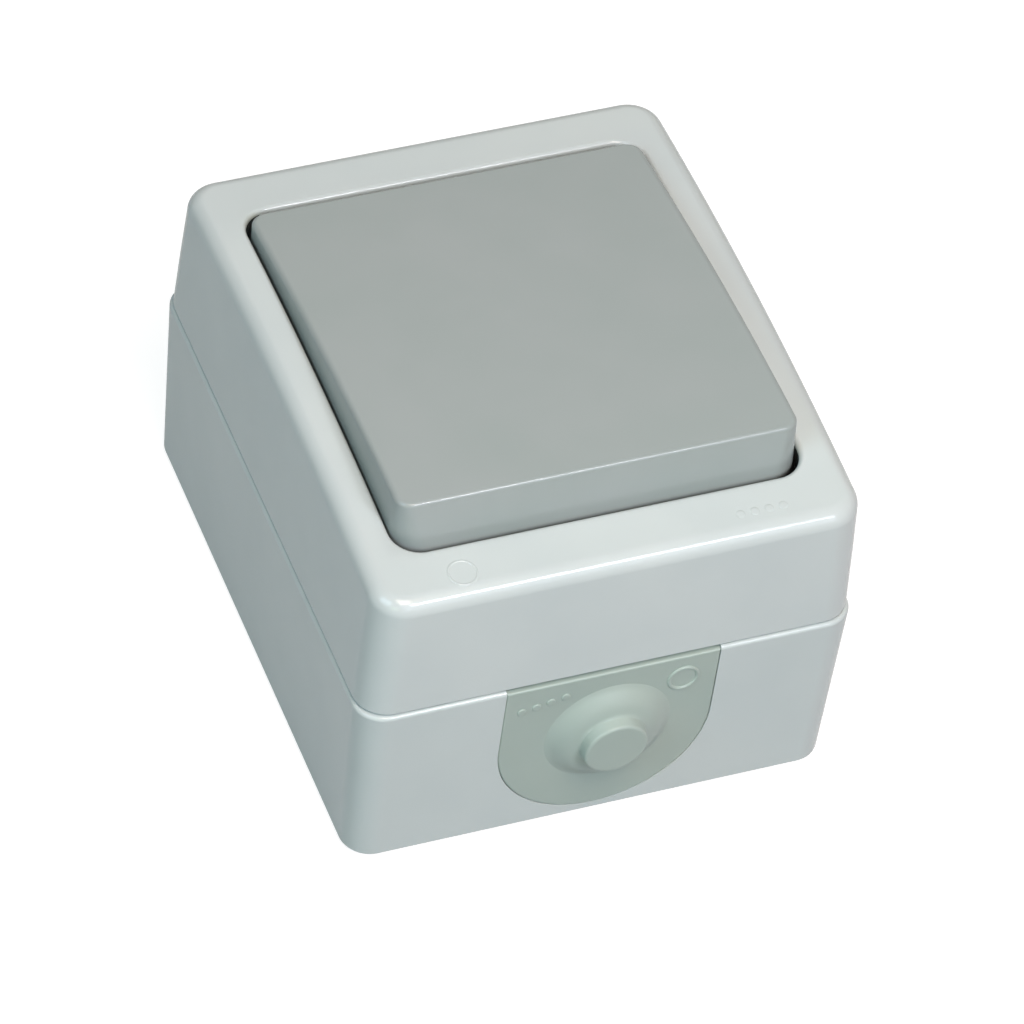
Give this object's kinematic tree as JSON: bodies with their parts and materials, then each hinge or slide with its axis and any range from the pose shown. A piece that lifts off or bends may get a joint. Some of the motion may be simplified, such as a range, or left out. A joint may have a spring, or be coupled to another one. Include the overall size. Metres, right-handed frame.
{
  "type": "surface mounted light switch",
  "caption": "Splash-proof surface mounted rocker switch: a wall box with cable entries, a crowned cover and a tilting rocker over a snap contact mechanism.",
  "frame": {"origin": "centre of the flat back that meets the wall", "axes": "+Z out of the wall, +Y up the wall, +X to the right as seen from the front"},
  "size_m": [0.066, 0.084, 0.0524],
  "materials": {
    "body_grey": "satin",
    "rocker_grey": "satin",
    "soft_grey": "matt",
    "dark_plastic": "matt",
    "brass": "bright",
    "silver": "bright",
    "steel": "zinc plated"
  },
  "bodies": {
    "housing": {"base_box": "body_grey", "cover_frame": "body_grey", "cover_gasket": "soft_grey", "turret_seal": "soft_grey", "bottom_cable_grommet": "soft_grey", "top_cable_grommet": "soft_grey", "insulator": "dark_plastic", "mechanism_frame": "dark_plastic", "common_terminal": "brass", "lower_terminal": "brass", "upper_terminal": "brass", "lower_fixed_contact": "silver", "upper_fixed_contact": "silver", "left_clamp": "steel", "middle_clamp": "steel", "right_clamp": "steel", "left_screw": "steel", "middle_screw": "steel", "right_screw": "steel", "left_mechanism_screw": "steel", "right_mechanism_screw": "steel", "lower_cover_screw": "steel", "upper_cover_screw": "steel"},
    "rocker": {"rocker": "rocker_grey", "actuator": "dark_plastic"},
    "plunger": {"plunger": "brass", "plunger_spring": "steel"},
    "contact_arm": {"contact_arm": "brass", "lower_moving_contact": "silver", "upper_moving_contact": "silver"}
  },
  "joints": [
    {"name": "rocker_pivot", "type": "hinge", "parent": "housing", "child": "rocker", "pos_m": [0, 0, 0.045], "axis": [1, 0, 0], "range_deg": [0, 8.6]},
    {"name": "plunger_slide", "type": "slide", "parent": "rocker", "child": "plunger", "axis": [0, 0.075, 0.9972], "range_m": [0, 0.0008], "stiffness_N_per_m": 300, "deforming": ["plunger_spring"]},
    {"name": "contact_arm_pivot", "type": "hinge", "parent": "housing", "child": "contact_arm", "pos_m": [0, 0, 0.023], "axis": [1, 0, 0], "range_deg": [-12, 0]}
  ],
  "couplings": [
    {"joint": "contact_arm_pivot", "follows": "rocker_pivot", "ratio": -1.3953}
  ]
}
